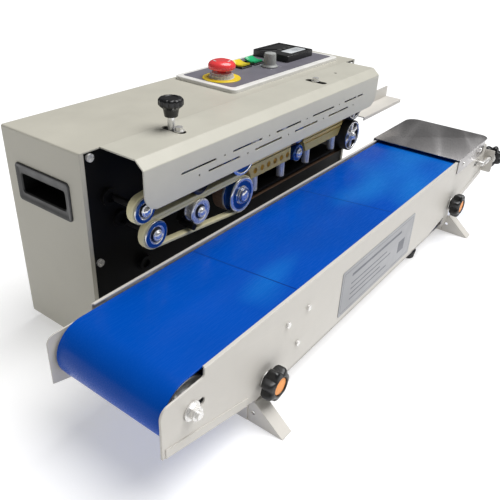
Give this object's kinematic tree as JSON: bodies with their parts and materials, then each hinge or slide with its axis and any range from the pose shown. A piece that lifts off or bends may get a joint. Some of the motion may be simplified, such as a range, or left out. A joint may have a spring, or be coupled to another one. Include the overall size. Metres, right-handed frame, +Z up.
{
  "type": "continuous band sealer",
  "caption": "Bench band sealer: bags ride a belt conveyor while paired guide belts, heated bands and wheels seal their mouths; control panel on top.",
  "frame": {"origin": "centre of the bounding box, on the bench", "axes": "+X along the bag's travel from infeed to outlet, +Y from the conveyor to the cabinet, +Z up"},
  "size_m": [0.8614, 0.3762, 0.301],
  "materials": {
    "housing_paint": "satin powder coat",
    "conveyor_paint": "satin powder coat",
    "hood_paint": "satin powder coat",
    "black_paint": "semi-matt",
    "stainless": "brushed",
    "zinc": "bright zinc",
    "aluminium": "turned",
    "belt_blue": "smooth, glossy",
    "wheel_blue": "anodised rings",
    "guide_cream": "matt",
    "band_brown": "coated glass cloth",
    "brass": "machined",
    "steel": "machined",
    "motor_grey": "satin",
    "knob_black": "moulded, orange cap",
    "handle_grey": "moulded",
    "rubber_black": "matt",
    "panel_white": "smooth",
    "fascia_grey": "printed film",
    "label_grey": "printed film",
    "estop_yellow": "gloss",
    "estop_red": "gloss",
    "rocker_yellow": "gloss",
    "rocker_green": "gloss",
    "controller_white": "satin",
    "supply_metal": "perforated sheet"
  },
  "bodies": {
    "machine": {"support_frame": "conveyor_paint", "front_feet": "conveyor_paint", "rubber_feet": "rubber_black", "cabinet_shell": "housing_paint", "back_cover": "housing_paint", "carry_handles": "handle_grey", "mounting_plate": "black_paint", "panel_screws": "zinc", "outfeed_guide": "conveyor_paint", "power_inlet": "handle_grey", "power_supply": "supply_metal", "wheel_axles": "zinc", "guide_belts": "guide_cream", "sealing_bands": "band_brown", "heating_blocks": "brass", "cooling_blocks": "brass", "heater_cartridges": "steel", "block_posts": "zinc", "block_rails": "black_paint", "gear_motor": "motor_grey", "idler_arm": "black_paint", "control_panel": "panel_white", "fascia": "fascia_grey", "estop_base": "estop_yellow", "rocker_bezels": "knob_black", "temperature_controller": "controller_white"},
    "conveyor": {"front_side_plate": "conveyor_paint", "rear_side_plate": "conveyor_paint", "conveyor_belt": "belt_blue", "slider_bed": "stainless", "roller_axles": "zinc", "conveyor_fasteners": "zinc", "label_plate": "label_grey", "outlet_tray": "stainless", "conveyor_motor": "motor_grey"},
    "drive_roller": {"drive_roller": "aluminium"},
    "tension_roller": {"tension_roller": "aluminium"},
    "left_star_knob": {"left_star_knob": "knob_black"},
    "right_star_knob": {"right_star_knob": "knob_black"},
    "tension_knob": {"tension_knob": "knob_black"},
    "hood": {"hood": "hood_paint"},
    "pressure_knob": {"pressure_knob": "knob_black"},
    "pressure_slider": {"pressure_slider": "black_paint"},
    "motor_pinion": {"motor_pinion": "steel"},
    "upper_infeed_pulley": {"upper_infeed_pulley": "wheel_blue"},
    "lower_infeed_pulley": {"lower_infeed_pulley": "wheel_blue"},
    "upper_idler_wheel": {"upper_idler_wheel": "wheel_blue"},
    "lower_idler_wheel": {"lower_idler_wheel": "wheel_blue"},
    "upper_exit_wheel": {"upper_exit_wheel": "rubber_black"},
    "lower_exit_wheel": {"lower_exit_wheel": "rubber_black"},
    "upper_pressure_wheel": {"upper_pressure_wheel": "rubber_black"},
    "lower_pressure_wheel": {"lower_pressure_wheel": "rubber_black"},
    "estop_button": {"estop_button": "estop_red"},
    "yellow_rocker": {"yellow_rocker": "rocker_yellow"},
    "green_rocker": {"green_rocker": "rocker_green"},
    "speed_knob": {"speed_knob": "knob_black"},
    "upper_drive": {"upper_drive_gear": "steel", "upper_drive_wheel": "wheel_blue"},
    "lower_drive": {"lower_drive_gear": "steel", "lower_drive_wheel": "wheel_blue"}
  },
  "joints": [
    {"name": "conveyor_lift", "type": "slide", "parent": "machine", "child": "conveyor", "axis": [0, 0, 1], "range_m": [0, 0.015]},
    {"name": "drive_roller_turn", "type": "hinge", "parent": "conveyor", "child": "drive_roller", "pos_m": [-0.3927, -0.0741, 0.098], "axis": [0, 1, 0], "continuous": true},
    {"name": "tension_roller_turn", "type": "hinge", "parent": "conveyor", "child": "tension_roller", "pos_m": [0.3713, -0.0741, 0.098], "axis": [0, 1, 0], "continuous": true},
    {"name": "tension_knob_turn", "type": "hinge", "parent": "conveyor", "child": "tension_knob", "pos_m": [0.4141, -0.1591, 0.098], "axis": [1, 0, 0], "range_deg": [-360, 360]},
    {"name": "left_star_knob_turn", "type": "hinge", "parent": "machine", "child": "left_star_knob", "pos_m": [-0.2757, -0.1542, 0.051], "axis": [0, -1, 0], "range_deg": [0, 720]},
    {"name": "right_star_knob_turn", "type": "hinge", "parent": "machine", "child": "right_star_knob", "pos_m": [0.2593, -0.1542, 0.059], "axis": [0, -1, 0], "range_deg": [0, 720]},
    {"name": "hood_slide", "type": "slide", "parent": "machine", "child": "hood", "axis": [0, -1, 0], "range_m": [0, 0.008]},
    {"name": "pressure_slide", "type": "slide", "parent": "machine", "child": "pressure_slider", "axis": [0, 0, 1], "range_m": [0, 0.002]},
    {"name": "pressure_knob_turn", "type": "hinge", "parent": "pressure_slider", "child": "pressure_knob", "pos_m": [-0.2142, 0.0369, 0.29], "axis": [0, 0, 1], "range_deg": [0, 480]},
    {"name": "lower_drive_turn", "type": "hinge", "parent": "machine", "child": "lower_drive", "pos_m": [-0.1197, 0.0209, 0.16065], "axis": [0, 1, 0], "continuous": true},
    {"name": "upper_drive_turn", "type": "hinge", "parent": "machine", "child": "upper_drive", "pos_m": [-0.1197, 0.0209, 0.21175], "axis": [0, 1, 0], "continuous": true},
    {"name": "motor_pinion_turn", "type": "hinge", "parent": "machine", "child": "motor_pinion", "pos_m": [-0.08138, 0.0709, 0.16065], "axis": [0, 1, 0], "continuous": true},
    {"name": "upper_infeed_turn", "type": "hinge", "parent": "machine", "child": "upper_infeed_pulley", "pos_m": [-0.2887, 0.0109, 0.20305], "axis": [0, 1, 0], "continuous": true},
    {"name": "lower_infeed_turn", "type": "hinge", "parent": "machine", "child": "lower_infeed_pulley", "pos_m": [-0.2737, 0.0109, 0.16785], "axis": [0, 1, 0], "continuous": true},
    {"name": "upper_idler_turn", "type": "hinge", "parent": "pressure_slider", "child": "upper_idler_wheel", "pos_m": [-0.2007, 0.0109, 0.20415], "axis": [0, 1, 0], "continuous": true},
    {"name": "lower_idler_turn", "type": "hinge", "parent": "machine", "child": "lower_idler_wheel", "pos_m": [-0.2007, 0.0109, 0.16825], "axis": [0, 1, 0], "continuous": true},
    {"name": "upper_exit_turn", "type": "hinge", "parent": "machine", "child": "upper_exit_wheel", "pos_m": [0.1773, 0.0269, 0.21175], "axis": [0, 1, 0], "continuous": true},
    {"name": "lower_exit_turn", "type": "hinge", "parent": "machine", "child": "lower_exit_wheel", "pos_m": [0.1773, 0.0269, 0.16065], "axis": [0, 1, 0], "continuous": true},
    {"name": "upper_pressure_turn", "type": "hinge", "parent": "machine", "child": "upper_pressure_wheel", "pos_m": [0.0263, 0.0269, 0.19975], "axis": [0, 1, 0], "continuous": true},
    {"name": "lower_pressure_turn", "type": "hinge", "parent": "machine", "child": "lower_pressure_wheel", "pos_m": [0.0263, 0.0269, 0.17265], "axis": [0, 1, 0], "continuous": true},
    {"name": "estop_press", "type": "slide", "parent": "machine", "child": "estop_button", "axis": [0, 0, -1], "range_m": [0, 0.0036]},
    {"name": "yellow_rocker_tip", "type": "hinge", "parent": "machine", "child": "yellow_rocker", "pos_m": [0.0483, 0.1429, 0.27155], "axis": [-1, 0, 0], "range_deg": [0, 14]},
    {"name": "green_rocker_tip", "type": "hinge", "parent": "machine", "child": "green_rocker", "pos_m": [0.0803, 0.1429, 0.27155], "axis": [-1, 0, 0], "range_deg": [0, 14]},
    {"name": "speed_knob_turn", "type": "hinge", "parent": "machine", "child": "speed_knob", "pos_m": [0.0798, 0.1119, 0.27755], "axis": [0, 0, -1], "range_deg": [0, 300]}
  ],
  "couplings": [
    {"joint": "tension_roller_turn", "follows": "drive_roller_turn", "ratio": 1},
    {"joint": "pressure_knob_turn", "follows": "pressure_slide", "rad_per_m": 4188.8},
    {"joint": "upper_drive_turn", "follows": "lower_drive_turn", "ratio": -1},
    {"joint": "motor_pinion_turn", "follows": "lower_drive_turn", "ratio": -2},
    {"joint": "upper_infeed_turn", "follows": "lower_drive_turn", "ratio": -1.5878},
    {"joint": "lower_infeed_turn", "follows": "lower_drive_turn", "ratio": 1.4417},
    {"joint": "upper_idler_turn", "follows": "lower_drive_turn", "ratio": -1.478},
    {"joint": "lower_idler_turn", "follows": "lower_drive_turn", "ratio": 1.478},
    {"joint": "upper_exit_turn", "follows": "lower_drive_turn", "ratio": -1},
    {"joint": "lower_exit_turn", "follows": "lower_drive_turn", "ratio": 1},
    {"joint": "upper_pressure_turn", "follows": "lower_drive_turn", "ratio": -1.9057},
    {"joint": "lower_pressure_turn", "follows": "lower_drive_turn", "ratio": 1.9057}
  ]
}
